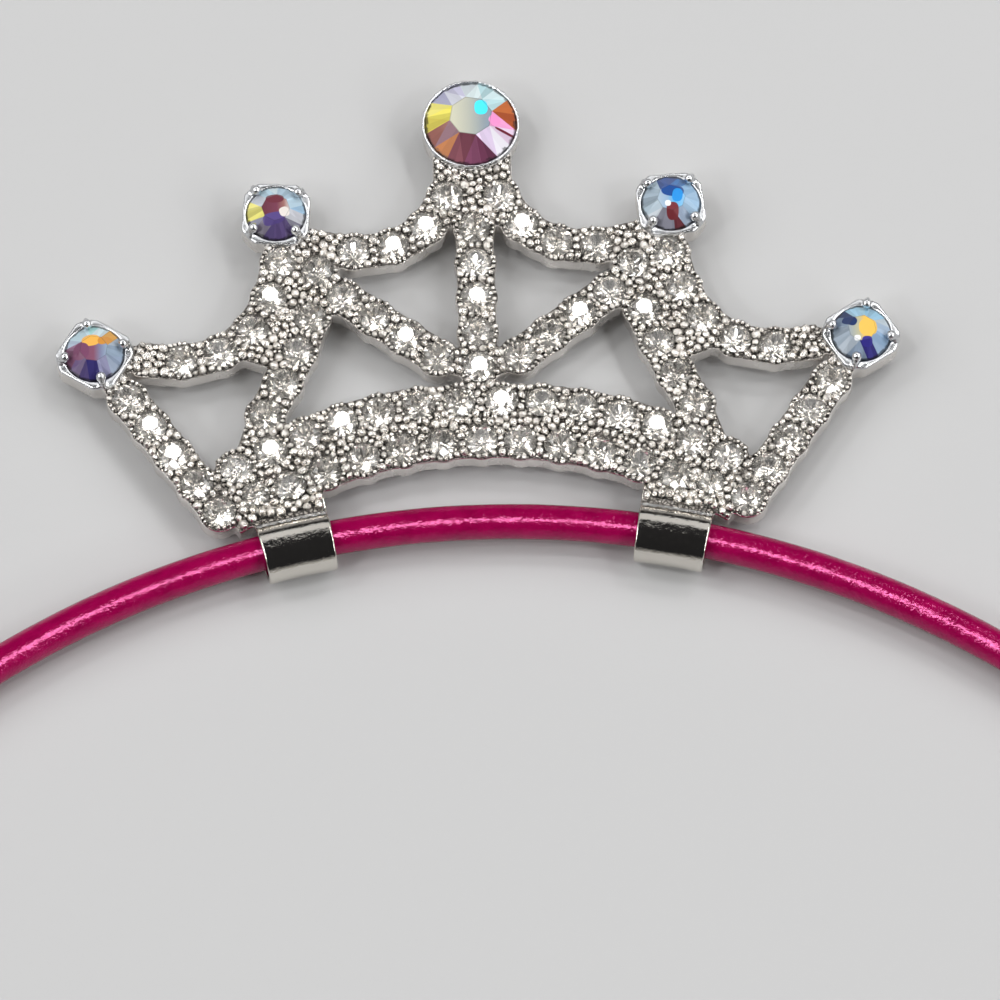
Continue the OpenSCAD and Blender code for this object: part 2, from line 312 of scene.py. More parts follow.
def bead_material():
    """Plated beads, with painted shade where they meet the metal that they stand on."""
    s = Shader("bead_silver")
    # painted shade: near-black at a bead's foot, the plating's colour higher up
    shaded_foot, top = (0.05, 0.044, 0.04), (0.72, 0.685, 0.64)
    tallest = 0.45 * MM
    height = s.math("SUBTRACT", s.split(s.place)[2], FRAME_TOP * MM)
    height = s.math("DIVIDE", height, tallest)
    s.surface(s.principled(
        Base_Color=s.ramp(height, [(0.02, shaded_foot), (0.34, top)]), Metallic=1.0,
        Roughness=s.ramp(s.noise(900, 2, 0.5), [(0.3, 0.16), (0.7, 0.34)]),
        Normal=s.bump(s.noise(5200, 2, 0.5), 1.0, 0.00013),
    ))
    return s


def crystal_material():
    """Small stones: clear glass above, and bright foil on the facets below, each painted lighter
    or darker as a painted reflection.
    """
    s = Shader("clear_crystal")
    foiled = s.math("LESS_THAN", s.split(s.place)[2], (FRAME_TOP + 0.01) * MM)
    # painted reflections: a facet's foil is painted from dark to light by the way that it faces
    geometry = s.add("ShaderNodeNewGeometry")
    nx, ny, _ = s.split(geometry.outputs["True Normal"])
    facet = s.scatter(s.weighed(nx, 37.3, ny, 91.7), 437.5)
    dark, middle, light = (0.32, 0.305, 0.285), (0.70, 0.675, 0.64), (0.98, 0.96, 0.93)
    tone = s.ramp(facet, [(0.0, dark), (0.45, middle), (0.8, light)])
    evened = s.ramp(s.noise(900, 3, 0.6), [(0.3, 0.0), (0.7, 0.35)])
    foil = s.principled(
        Base_Color=s.mix(evened, tone, (0.92, 0.895, 0.855)), Metallic=0.8, Roughness=0.05,
    )
    glass = s.principled(
        Base_Color=(0.97, 0.965, 0.95, 1), Roughness=0.0, IOR=1.6, Transmission_Weight=1.0,
    )
    s.surface(s.mix_shader(foiled, glass, foil))
    return s


# Each coated stone shows other colours.
# ring: where the setting's dark ring of painted shade starts near its edge, as a share of its
# width
# turn: how far its facets are turned, in degrees
# slopes: the colours of its sloping facets by the direction that they face, from -180 degrees
#   anticlockwise, with 0 to the right
# top: the colours of its flat top, from left to right
# patches: small patches of colour, as middle, half sizes in millimetres, turn and colour;
# the small white ones are painted highlights, and the centre stone's cyan one a painted
# reflection
AURORA = {
    "stone_centre": {
        "ring": 0.538, "turn": 12,
        "slopes": [
            (-180, (244, 228, 104)), (-168, (146, 92, 84)), (-150, (134, 94, 106)),
            (-139, (190, 112, 46)), (-123, (152, 92, 104)), (-107, (128, 74, 88)),
            (-94, (146, 86, 116)), (-78, (112, 56, 84)), (-62, (226, 206, 236)),
            (-49, (244, 240, 250)), (-33, (238, 214, 238)), (-16, (244, 164, 212)),
            (-5, (176, 84, 44)), (12, (206, 108, 46)), (28, (190, 226, 232)),
            (41, (214, 238, 242)), (57, (184, 222, 228)), (73, (224, 240, 242)),
            (86, (206, 216, 222)), (102, (196, 194, 218)), (118, (222, 224, 236)),
            (131, (178, 178, 206)), (147, (244, 234, 130)), (163, (252, 240, 112)),
        ],
        "top": [
            (0.0, (206, 204, 180)), (0.45, (178, 180, 168)), (0.8, (140, 152, 160)),
            (1.0, (128, 146, 164)),
        ],
        "patches": [
            # painted reflection: this cyan patch
            (0.72, 0.62, 0.46, 0.56, 0, (64, 226, 250)),
            (1.62, -0.3, 0.38, 0.4, -40, (246, 150, 206)),
            (2.35, -0.95, 0.75, 0.1, -12, (112, 30, 52)),
        ],
    },
    "stone_mid_left": {
        "ring": 0.525, "turn": -5,
        "slopes": [
            (-180, (240, 232, 130)), (-160, (150, 150, 170)), (-135, (128, 120, 138)),
            (-110, (92, 78, 124)), (-85, (98, 82, 130)), (-60, (118, 116, 134)),
            (-35, (196, 198, 206)), (-15, (158, 192, 220)), (15, (190, 216, 232)),
            (45, (170, 196, 214)), (75, (206, 224, 232)), (105, (176, 206, 222)),
            (135, (198, 204, 214)), (160, (244, 236, 140)),
        ],
        "top": [
            (0.0, (102, 52, 64)), (0.55, (118, 62, 82)), (0.8, (156, 110, 104)),
            (1.0, (206, 198, 196)),
        ],
        "patches": [
            (-0.15, -0.75, 0.75, 0.42, 12, (88, 72, 132)),
            (0.58, -0.3, 0.34, 0.36, 20, (226, 218, 212)),
            (-0.05, 0.72, 0.62, 0.34, 0, (110, 50, 64)),
        ],
    },
    "stone_outer_left": {
        "ring": 0.525, "turn": -32,
        "slopes": [
            (-180, (124, 80, 108)), (-155, (104, 82, 124)), (-130, (92, 80, 130)),
            (-105, (64, 58, 122)), (-80, (150, 150, 184)), (-50, (150, 166, 190)),
            (-20, (146, 164, 184)), (10, (172, 186, 200)), (35, (216, 160, 74)),
            (60, (206, 226, 232)), (85, (168, 222, 222)), (110, (190, 216, 226)),
            (140, (172, 188, 206)), (165, (150, 112, 140)),
        ],
        "top": [
            (0.0, (122, 74, 104)), (0.5, (132, 82, 104)), (0.75, (126, 130, 160)),
            (1.0, (148, 168, 188)),
        ],
        "patches": [
            (-0.2, 0.62, 0.62, 0.44, 8, (236, 178, 84)),
            (0.75, 0.62, 0.5, 0.3, 20, (206, 142, 62)),
            (-0.85, -0.15, 0.55, 0.6, 0, (120, 70, 100)),
        ],
    },
    "stone_mid_right": {
        "ring": 0.525, "turn": 5,
        "slopes": [
            (-180, (176, 194, 206)), (-150, (200, 208, 216)), (-120, (150, 150, 164)),
            (-95, (110, 54, 62)), (-70, (160, 178, 202)), (-45, (176, 206, 232)),
            (-15, (166, 198, 226)), (20, (150, 186, 218)), (50, (58, 116, 180)),
            (75, (34, 68, 138)), (98, (40, 74, 140)), (118, (180, 202, 218)),
            (150, (168, 186, 200)),
        ],
        "top": [
            (0.0, (172, 190, 204)), (0.35, (150, 178, 206)), (0.6, (84, 176, 228)),
            (1.0, (150, 196, 230)),
        ],
        "patches": [
            (0.1, 0.55, 0.78, 0.46, -8, (34, 76, 146)),
            (0.42, 0.18, 0.36, 0.5, -10, (44, 146, 224)),
            (0.05, -0.92, 0.42, 0.58, 0, (120, 50, 56)),
            # painted highlight: this small white patch
            (-0.25, -0.42, 0.2, 0.22, 0, (244, 244, 246)),
        ],
    },
    "stone_outer_right": {
        "ring": 0.525, "turn": 32,
        "slopes": [
            (-180, (162, 176, 190)), (-150, (176, 188, 200)), (-118, (150, 168, 190)),
            (-92, (60, 56, 134)), (-68, (160, 186, 216)), (-40, (152, 182, 214)),
            (-12, (172, 192, 214)), (15, (190, 204, 214)), (40, (150, 196, 222)),
            (68, (164, 206, 226)), (95, (156, 198, 222)), (118, (34, 52, 96)),
            (142, (120, 138, 160)), (165, (150, 166, 182)),
        ],
        "top": [
            (0.0, (150, 164, 176)), (0.4, (186, 182, 150)), (0.6, (236, 190, 92)),
            (1.0, (238, 192, 96)),
        ],
        "patches": [
            (0.4, 0.05, 0.62, 0.62, 0, (240, 194, 92)),
            (0.3, -0.95, 0.36, 0.34, 0, (58, 52, 140)),
            (-0.8, 0.62, 0.52, 0.36, -30, (36, 54, 100)),
            # painted highlight: this small white patch
            (-0.35, -0.72, 0.22, 0.2, 0, (240, 242, 244)),
        ],
    },
}
SECTORS = 32            # the facets below a coated stone's front, seen from above
PATCH_POWER = 2.6       # 2 would give a patch the outline of an ellipse, and more a squarer one


def aurora_material(name):
    """A coated, foiled stone: each facet shows its own colour under clear, glossy glass, with
    painted light and shade over it.
    """
    look = AURORA[name]
    s = Shader(name + "_coating")
    low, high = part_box(name)
    radius = (high.x - low.x) / 2 / MM
    x, y, _ = s.split(s.place)
    dx = s.math("DIVIDE", s.math("SUBTRACT", x, (low.x + high.x) / 2), MM)
    dy = s.math("DIVIDE", s.math("SUBTRACT", y, (low.y + high.y) / 2), MM)
    geometry = s.add("ShaderNodeNewGeometry")
    nx, ny, nz = s.split(geometry.outputs["True Normal"])
    slopes = [((angle + 180) / 360, linear(*colour)) for angle, colour in look["slopes"]]
    colour = s.ramp(s.direction(nx, ny), slopes, "CONSTANT")
    # painted light: the facets below show as narrow sectors, each painted a little lighter or
    # darker
    sector = s.math("FLOOR", s.math("MULTIPLY", s.direction(dx, dy), SECTORS))
    shade = s.scatter(s.math("MULTIPLY", sector, 12.9898), 43.7)
    colour = s.mix(1.0, colour, s.ramp(shade, [(0.0, 0.66), (1.0, 1.0)]), "MULTIPLY")
    across = s.math("ADD", s.math("DIVIDE", dx, 2 * TABLE * radius), 0.5)
    top = s.ramp(across, [(at, linear(*c)) for at, c in look["top"]])
    faces_up = s.math("GREATER_THAN", nz, 0.97)
    colour = s.mix(faces_up, colour, top)
    # patches of colour; the small white ones are painted highlights and the cyan one a painted
    # reflection
    for px, py, half_w, half_h, turn, patch in look["patches"]:
        cos, sin = math.cos(math.radians(turn)), math.sin(math.radians(turn))
        ex, ey = s.math("SUBTRACT", dx, px), s.math("SUBTRACT", dy, py)
        u = s.math("ABSOLUTE", s.weighed(ex, cos / half_w, ey, sin / half_w))
        v = s.math("ABSOLUTE", s.weighed(ey, cos / half_h, ex, -sin / half_h))
        reach = s.math("ADD", s.math("POWER", u, PATCH_POWER), s.math("POWER", v, PATCH_POWER))
        colour = s.mix(s.ramp(reach, [(0.92, 1.0), (1.08, 0.0)]), colour, linear(*patch))
    # painted shade: the setting shows as a dark, broken ring through the stone's edge
    out = s.math("DIVIDE", s.math("SQRT", s.weighed(dx, dx, dy, dy)), 2 * radius)
    rim = s.math("ADD", out, s.math("MULTIPLY", s.noise(1900, 3, 0.6), 0.11))
    ring = s.ramp(rim, [(look["ring"], 0.0), (look["ring"] + 0.015, 0.75)])
    colour = s.mix(ring, colour, (0.012, 0.011, 0.012))
    # a thin dark line follows the eight sides of the flat top
    apothem = TABLE * radius * math.cos(math.pi / 8)
    reach = 0.0
    for k in range(8):
        a = math.radians(look["turn"] + 22.5 + 45 * k)
        side = s.weighed(dx, math.cos(a) / apothem / 2, dy, math.sin(a) / apothem / 2)
        reach = s.math("MAXIMUM", reach, side)
    line = s.ramp(reach, [(0.485, 0.0), (0.5, 0.55), (0.515, 0.0)])
    colour = s.mix(line, colour, (0.05, 0.045, 0.045))
    coated = s.principled(
        Base_Color=colour, Metallic=0.1, Roughness=0.3, Specular_IOR_Level=0.2, Coat_Weight=0.5,
        Coat_IOR=1.45, Coat_Roughness=0.02,
    )
    foil = s.principled(Base_Color=(0.8, 0.79, 0.78, 1), Metallic=1.0, Roughness=0.15)
    faces_down = s.math("LESS_THAN", nz, -0.05)
    s.surface(s.mix_shader(faces_down, coated, foil))
    return s


# ---------------------------------------------------------------- the band
LEATHER_R = BAND_R - 0.025      # the leather's mean radius; its lumps rise to the solid's surface


def band_path(step):
    """Points along the band's middle line from its left end to its right one: x, y, and how
    far the outward direction is turned clockwise from the top."""
    half = []
    for i in range(int(math.radians(ARCH_ANGLE) * ARCH_R / step) + 1):
        a = i * step / ARCH_R
        half.append((ARCH_R * math.sin(a), ARCH_R * math.cos(a), a))
    side_x = (ARCH_R - SIDE_R) * math.sin(math.radians(ARCH_ANGLE))
    side_y = (ARCH_R - SIDE_R) * math.cos(math.radians(ARCH_ANGLE))
    count = int(math.radians(SIDE_ANGLE) * SIDE_R / step)
    for i in range(1, count + 1):
        a = math.radians(ARCH_ANGLE + SIDE_ANGLE * i / count)
        half.append((side_x + SIDE_R * math.sin(a), side_y + SIDE_R * math.cos(a), a))
    left = [(-x, y, -a) for x, y, a in reversed(half[1:])]
    return left + half


def wave(t, seed):
    """Smooth one-dimensional noise with a mean of zero."""
    rng = random.Random(seed)
    octaves = 4
    total = 0.0
    for k in range(octaves):
        total += math.sin(t * (0.21 * 1.9 ** k) + rng.uniform(0, TURN)) / 1.5 ** k
    return total / octaves


def make_band():
    around, ball, step = 40, 8, 0.3
    path = band_path(step)

    def cap(x, y, a, sign):
        """The rings of an end's half ball."""
        made = []
        for k in range(1, ball):
            angle = k / ball * math.pi / 2
            made.append((x, y, a, sign * math.sin(angle) * BAND_R, math.cos(angle)))
        return made

    # each ring's place and direction, how far it is moved ahead, and its share of the radius
    rings = [(x, y, a, 0.0, 1.0) for x, y, a in path]
    rings = list(reversed(cap(*path[0], -1))) + rings + cap(*path[-1], 1)
    vertices = []
    t = 0.0
    for x, y, a, forward, share in rings:
        out = Vector((math.sin(a), math.cos(a), 0))
        ahead = Vector((math.cos(a), -math.sin(a), 0))
        centre = Vector((x, y + ARCH_Y, BAND_Z)) + ahead * forward
        t += step
        for k in range(around):
            angle = 2 * math.pi * k / around
            # long lumps and short ones, each set going a few points round the band
            uneven = 0.012 * wave(t * 1.6, k // 5) + 0.010 * wave(t * 5.0, 40 + k // 3)
            r = (LEATHER_R + uneven) * share
            radial = out * math.cos(angle) + Vector((0, 0, 1)) * math.sin(angle)
            vertices.append((centre + radial * r) * MM)
    faces = []
    for i in range(len(rings) - 1):
        for k in range(around):
            a, b = i * around + k, i * around + (k + 1) % around
            faces.append((a, b, b + around, a + around))
    for right_end, start in ((False, 0), (True, (len(rings) - 1) * around)):
        x, y, a = path[-1] if right_end else path[0]
        ahead = Vector((math.cos(a), -math.sin(a), 0)) * LEATHER_R * (1 if right_end else -1)
        vertices.append((Vector((x, y + ARCH_Y, BAND_Z)) + ahead) * MM)
        tip = len(vertices) - 1
        for k in range(around):
            a, b = start + k, start + (k + 1) % around
            faces.append((tip, a, b) if right_end else (tip, b, a))
    piece = new_object("leather_band", vertices, faces, smooth=True)
    paint(piece, leather_material())
    finish_piece(piece, "band")


# ---------------------------------------------------------------- the small stones
def stone_centres():
    """Each small stone's place and radius: those of the CAD, by their tips, and the two extra."""
    data = nodes["pave_stones"].data
    points = np.array([v.co for v in data.vertices])
    tips = points[points[:, 2] < points[:, 2].min() + 1e-6][:, :2] / MM
    found = sorted({(round(float(x), 3), round(float(y), 3)) for x, y in tips})
    extra = [(side * EXTRA_STONE[0], EXTRA_STONE[1] + ARCH_Y, EXTRA_R) for side in (-1, 1)]
    return [(x, y, PAVE_R) for x, y in found] + extra


def brilliant(r, crown, deep, girdle, table):
    """Vertices and faces of a brilliant cut about the origin, its widest line at z = 0."""
    def ring(count, radius, z, shift=0.0):
        step = 2 * math.pi / count
        angles = [(i + shift) * step for i in range(count)]
        return [Vector((radius * math.cos(a), radius * math.sin(a), z)) for a in angles]
    top = ring(8, r * table, crown)
    star = ring(8, r * (table + 1) * 0.5 * 1.04, crown * 0.56, 0.5)
    upper = ring(16, r, girdle)
    lower = ring(16, r, 0.0)
    pavilion = ring(8, r * 0.42, -deep * 0.60, 0.5)
    points = top + star + upper + lower + pavilion + [Vector((0, 0, -deep))]
    # where each ring starts among the points, and the tip
    t, m, u, w, p, culet = 0, 8, 16, 32, 48, 56
    faces = [tuple(range(8))]
    for i in range(8):
        n = (i + 1) % 8
        before = (i - 1) % 8
        faces.append((t + i, m + i, t + n))
        faces.append((t + i, m + before, u + 2 * i, m + i))
        faces.append((m + i, u + 2 * i, u + 2 * i + 1))
        faces.append((m + i, u + 2 * i + 1, u + (2 * i + 2) % 16))
        faces.append((p + i, w + 2 * i + 1, w + 2 * i))
        faces.append((p + i, w + (2 * i + 2) % 16, w + 2 * i + 1))
        faces.append((culet, p + i, w + 2 * i, p + before))
    for i in range(16):
        n = (i + 1) % 16
        faces.append((u + i, w + i, w + n, u + n))
    return points, faces


def make_small_stones(centres):
    rng = random.Random(7)
    vertices, faces = [], []
    for x, y, radius in centres:
        # each stone is cut a little smaller than its solid, and leans and sinks a little
        size = rng.uniform(0.965, 0.99) * radius
        share = radius / PAVE_R
        points, cut = brilliant(
            size, PAVE_CROWN * 0.92 * share, PAVE_DEEP * 0.9 * share, girdle=0.03, table=0.5)
        lean = rng.uniform(1.0, 6.0)
        turn = (
            Matrix.Rotation(rng.uniform(0, TURN), 3, "Z")
            @ Matrix.Rotation(math.radians(lean), 3, "X")
            @ Matrix.Rotation(rng.uniform(0, TURN), 3, "Z")
        )
        base = Vector((x, y, FRAME_TOP + rng.uniform(-0.02, 0.03)))
        first = len(vertices)
        vertices += [(base + turn @ p) * MM for p in points]
        faces += [tuple(first + k for k in f) for f in cut]
    piece = new_object("pave_crystals", vertices, faces)
    outward(piece)
    paint(piece, crystal_material())
    finish_piece(piece, "pave_stones")


# ---------------------------------------------------------------- the beads between the stones
BEAD_SIZES = (0.32, 0.28, 0.25, 0.22, 0.19, 0.16)   # radii, in the order in which they are placed
CELL = 0.08             # the width of the cells in which the crown's front is searched
FLAT = 0.02             # a cell is on the front if its height is this close to the front's,
STEP = 0.1              # and off it if it is this far above, or less than this above the back
EDGE_GAP = 0.04         # a bead stays this far from the front's edges
STONE_LAP = 0.1         # and reaches this far over a small stone's edge
SETTING_GAP = 0.2       # a bead's middle stays this far from a large stone,
LOWER_GAP = 0.1         # this far from the crown's lower edge,
TAB_GAP = 0.9           # and this far from it where a clip's tab is
TAB_SIDE = 0.2          # which counts to this far beside the tab
BEAD_SPACING = 0.86     # two beads' middles are apart by this share of their radii's sum, or more


def metal_front(centres):
    """Places on the frame's flat front, each with the radius of the largest bead for it."""
    data = nodes["crown_frame"].data
    polygons = [tuple(p.vertices) for p in data.polygons]
    tree = BVHTree.FromPolygons([v.co for v in data.vertices], polygons)
    low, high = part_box("crown_frame")
    columns = int((high.x - low.x) / MM / CELL) + 3
    rows = int((high.y - low.y) / MM / CELL) + 3
    height = np.full((rows, columns), -1.0)
    down = Vector((0, 0, -1))
    above = 0.01
    for j in range(rows):
        y = low.y + (j - 1) * CELL * MM
        for i in range(columns):
            hit = tree.ray_cast(Vector((low.x + (i - 1) * CELL * MM, y, above)), down)[0]
            if hit is not None:
                height[j, i] = hit.z / MM
    flat = np.abs(height - FRAME_TOP) < FLAT
    # a bead keeps off the frame's outer edge and off the walls that stand up from its front
    blocked = (height < FRAME_Z + STEP) | (height > FRAME_TOP + STEP)
    near = np.zeros_like(flat)
    for dj in (-1, 0, 1):
        for di in (-1, 0, 1):
            near |= np.roll(np.roll(flat, dj, 0), di, 1)
    edge = np.argwhere(blocked & near)
    edges = KDTree(len(edge))
    for index, (j, i) in enumerate(edge):
        edges.insert((i * CELL, j * CELL, 0), index)
    edges.balance()
    stones = KDTree(len(centres))
    for index, (x, y, _) in enumerate(centres):
        stones.insert((x, y, 0), index)
    stones.balance()
    large = []
    for name in AURORA:
        start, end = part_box(name)
        x, y = (start.x + end.x) / 2 / MM, (start.y + end.y) / 2 / MM
        large.append((x, y, (end.x - start.x) / 2 / MM + SETTING_GAP))
    spots = []
    for j, i in np.argwhere(flat):
        x, y = low.x / MM + (i - 1) * CELL, low.y / MM + (j - 1) * CELL
        if any(math.hypot(x - cx, y - cy) < r for cx, cy, r in large):
            continue
        from_clip = abs(math.degrees(math.atan2(abs(x), y - ARCH_Y)) - CLIP_ANGLE)
        at_tab = from_clip * math.pi / 180 * ARCH_R < CLIP_W / 2 + TAB_SIDE
        if math.hypot(x, y - ARCH_Y) < FRAME_IN + (TAB_GAP if at_tab else LOWER_GAP):
            continue
        to_edge = edges.find((i * CELL, j * CELL, 0))[2]
        _, index, to_stone = stones.find((x, y, 0))
        room = min(to_edge - EDGE_GAP, to_stone - centres[index][2] + STONE_LAP)
        if room > BEAD_SIZES[-1]:
            spots.append((x, y, room))
    return spots


def bead_places(centres):
    """Beads of several sizes scattered over the metal, the large ones first."""
    rng = random.Random(11)
    spots = metal_front(centres)
    rng.shuffle(spots)
    placed = {}
    beads = []
    reach = 2 * BEAD_SIZES[0]
    for size in BEAD_SIZES:
        for x, y, room in spots:
            if room < size:
                continue
            column, row = int(x // reach), int(y // reach)
            others = [
                bead for i in (-1, 0, 1) for j in (-1, 0, 1)
                for bead in placed.get((column + i, row + j), ())
            ]
            if all(math.hypot(x - a, y - b) > BEAD_SPACING * (size + r) for a, b, r in others):
                placed.setdefault((column, row), []).append((x, y, size))
                beads.append((x, y, size))
    return beads


def dome(segments, turns):
    """A unit ball's vertices and faces, with rings at the given angles from its top."""
    points = [Vector((0, 0, 1))]
    for angle in turns:
        r = math.sin(angle)
        for k in range(segments):
            a = 2 * math.pi * k / segments
            points.append(Vector((r * math.cos(a), r * math.sin(a), math.cos(angle))))
    points.append(Vector((0, 0, -1)))
    last = len(points) - 1
    faces = []
    for k in range(segments):
        n = (k + 1) % segments
        faces.append((0, 1 + k, 1 + n))
        for t in range(len(turns) - 1):
            a = 1 + t * segments
            faces.append((a + k, a + segments + k, a + segments + n, a + n))
        a = 1 + (len(turns) - 1) * segments
        faces.append((last, a + n, a + k))
    return points, faces


def make_beads(centres):
    rng = random.Random(12)
    # the rings are closer together above, where the beads are seen
    points, cells = dome(10, [math.radians(a) for a in (24, 48, 72, 100, 140)])
    vertices, faces = [], []
    for x, y, size in bead_places(centres):
        r = size * rng.uniform(0.9, 1.04)
        wide = Vector((
            r * rng.uniform(0.78, 1.22), r * rng.uniform(0.78, 1.22), r * rng.uniform(0.85, 1.1),
        ))
        turn = rng.uniform(0, TURN)
        cos, sin = math.cos(turn), math.sin(turn)
        base = Vector((x, y, FRAME_TOP + size * rng.uniform(0.05, 0.3)))
        first = len(vertices)
        for p in points:
            px, py = p.x * wide.x, p.y * wide.y
            turned = Vector((px * cos - py * sin, px * sin + py * cos, p.z * wide.z))
            vertices.append((base + turned) * MM)
        faces += [tuple(first + k for k in f) for f in cells]
    piece = new_object("pave_beads", vertices, faces, smooth=True)
    outward(piece)
    paint(piece, bead_material())
    finish_piece(piece)


# ---------------------------------------------------------------- the cast frame and the clips
def seat_cutter(x, y, radius):
    """Vertices and faces of the cone that a small stone stands in, from above the metal to its
    tip, a little wider than the stone."""
    sides, wide = 24, radius + 0.03
    above, rim = FRAME_TOP + 0.3, FRAME_TOP - 0.05
    angles = [2 * math.pi * k / sides for k in range(sides)]
    ring = [(wide * math.cos(a), wide * math.sin(a)) for a in angles]
    points = [((x + u) * MM, (y + v) * MM, z * MM) for z in (above, rim) for u, v in ring]
    points.append((x * MM, y * MM, (FRAME_TOP - PAVE_DEEP * radius / PAVE_R) * MM))
    faces = [tuple(range(sides))]
    for k in range(sides):
        n = (k + 1) % sides
        faces += [(k, n, sides + n, sides + k), (sides + k, sides + n, 2 * sides)]
    return points, faces


def make_frame(centres):
    """The frame's solid without its clips and with seats for the extra stones, with the soft,
    slightly uneven edges of a polished casting."""
    piece = bpy.data.objects.new("cast_frame", nodes["crown_frame"].data.copy())
    scene.collection.objects.link(piece)
    mesh = bmesh.new()
    mesh.from_mesh(piece.data)
    bmesh.ops.remove_doubles(mesh, verts=mesh.verts, dist=1e-7)
    mesh.to_mesh(piece.data)
    mesh.free()
    # all that is inside the crown's lower edge is cut off, and so are the seats
    sides, inside = 360, FRAME_IN - 0.01
    angles = [2 * math.pi * k / sides for k in range(sides)]
    ring = [(inside * math.sin(a) * MM, (inside * math.cos(a) + ARCH_Y) * MM) for a in angles]
    vertices = [(x, y, z) for z in (-0.001, 0.006) for x, y in ring]
    faces = [tuple(range(sides)), tuple(range(2 * sides - 1, sides - 1, -1))]
    faces += [(k, sides + k, sides + (k + 1) % sides, (k + 1) % sides) for k in range(sides)]
    for x, y, radius in centres:
        if radius != PAVE_R:
            points, cone = seat_cutter(x, y, radius)
            faces += [tuple(len(vertices) + k for k in f) for f in cone]
            vertices += points
    cutter = new_object("cutter", vertices, faces)
    outward(cutter)
    cut = piece.modifiers.new("cut", "BOOLEAN")
    cut.operation, cut.solver, cut.object = "DIFFERENCE", "EXACT", cutter
    remesh = piece.modifiers.new("remesh", "REMESH")
    remesh.mode, remesh.voxel_size, remesh.use_smooth_shade = "VOXEL", 0.00011, True
    smooth = piece.modifiers.new("smooth", "SMOOTH")
    smooth.factor, smooth.iterations = 0.5, 3
    thin = piece.modifiers.new("thin", "DECIMATE")
    thin.ratio = 0.35
    graph = bpy.context.evaluated_depsgraph_get()
    baked = bpy.data.meshes.new_from_object(piece.evaluated_get(graph))
    piece.modifiers.clear()
    piece.data = baked
    bpy.data.objects.remove(cutter)
    baked.polygons.foreach_set("use_smooth", [True] * len(baked.polygons))
    paint(piece, cast_material())
    finish_piece(piece, "crown_frame")


def clip_line():
    """The middle of the strip's thickness, from its tab over the band to its end behind it.
    Each point has its distance outward from the band's middle line, its height, and the same
    two parts of the direction to the strip's outer side."""
    def arc(u, z, r, start, end, count, flip=1):
        made = []
        for i in range(count + 1):
            a = math.radians(start + (end - start) * i / count)
            nu, nz = math.cos(a), math.sin(a)
            made.append((u + r * nu, z + r * nz, flip * nu, flip * nz))
        return made
    middle = LOOP_OUT - STRIP_T / 2
    bend_z = FRAME_TOP + CLIP_BEND
    bend_u = math.sqrt((LOOP_OUT + CLIP_BEND) ** 2 - (bend_z - BAND_Z) ** 2)
    bend = math.degrees(math.atan2(bend_z - BAND_Z, bend_u))
    tab = FRAME_TOP - STRIP_T / 2 + 0.07
    line = [(bend_u + 1.2, tab - 0.02, 0.0, 1.0), (bend_u + 0.6, tab, 0.0, 1.0)]
    line += arc(bend_u, bend_z, CLIP_BEND + STRIP_T / 2, 270, 180 + bend, 10, -1)
    line += arc(0, BAND_Z, middle, bend, 90, 14)[1:]
    line += arc(-CLIP_SLACK, BAND_Z, middle, 90, 270, 44)
    line += arc(0, BAND_Z, middle, 270, 270 + REAR_WRAP, 12)
    return line


def strip_section():
    """The strip's cross-section, a flat bar with round edges: width across, height through."""
    corner, steps = 0.11, 5
    half, thick = CLIP_W / 2 - corner, STRIP_T / 2 - corner
    section = []
    corners = ((half, thick, 0), (-half, thick, 90), (-half, -thick, 180), (half, -thick, 270))
    for cx, cy, start in corners:
        for i in range(steps + 1):
            a = math.radians(start + 90 * i / steps)
            section.append((cx + corner * math.cos(a), cy + corner * math.sin(a)))
    # extra points along the two wide sides let the strip be slightly uneven
    dense = []
    for (x0, y0), (x1, y1) in zip(section, section[1:] + section[:1]):
        count = 12 if abs(x1 - x0) > 1 else 1
        dense += [(x0 + (x1 - x0) * i / count, y0 + (y1 - y0) * i / count) for i in range(count)]
    return dense


def make_clips():
    line, section = clip_line(), strip_section()
    # the strip is a little thinner at its two ends
    taper = [0.82, 0.95] + [1.0] * (len(line) - 4) + [0.95, 0.82]
    vertices, faces = [], []
    for side in (-1, 1):
        first = len(vertices)
        for j, (u, z, nu, nz) in enumerate(line):
            for w, t in section:
                uneven = 0.012 * wave(j * 0.55 + w * 0.7, 5 + side)
                uneven += 0.006 * wave(w * 3.1 + j * 0.2, 9 - side)
                through = t * taper[j] + uneven - 0.012
                angle = side * math.radians(CLIP_ANGLE) + w * (0.97 + 0.03 * taper[j]) / ARCH_R
                r = ARCH_R + u + through * nu
                x, y = r * math.sin(angle), r * math.cos(angle) + ARCH_Y
                vertices.append(Vector((x, y, z + through * nz)) * MM)
        count = len(section)
        for j in range(len(line) - 1):
            for k in range(count):
                a, b = first + j * count + k, first + j * count + (k + 1) % count
                faces.append((a, b, b + count, a + count))
        faces.append(tuple(range(first, first + count)))
        end = first + (len(line) - 1) * count
        faces.append(tuple(range(end + count - 1, end - 1, -1)))
    piece = new_object("band_clips", vertices, faces, smooth=True)
    outward(piece)
    paint(piece, polished_material())
    finish_piece(piece, "crown_frame")


# ---------------------------------------------------------------- the floor and the light
def make_floor():
    # just below the object, so that it shares no plane with it
    size, z = 4.0, -0.00002
    corners = [(-size, -size, z), (size, -size, z), (size, size, z), (-size, size, z)]
    floor = new_object("floor", corners, [(0, 1, 2, 3)])
    s = Shader("pale_floor")
    s.surface(s.principled(
        Base_Color=s.ramp(s.noise(3, 2, 0.5), [(0.3, 0.50), (0.7, 0.52)]), Roughness=0.7,
        Specular_IOR_Level=0.2,
    ))
    paint(floor, s)


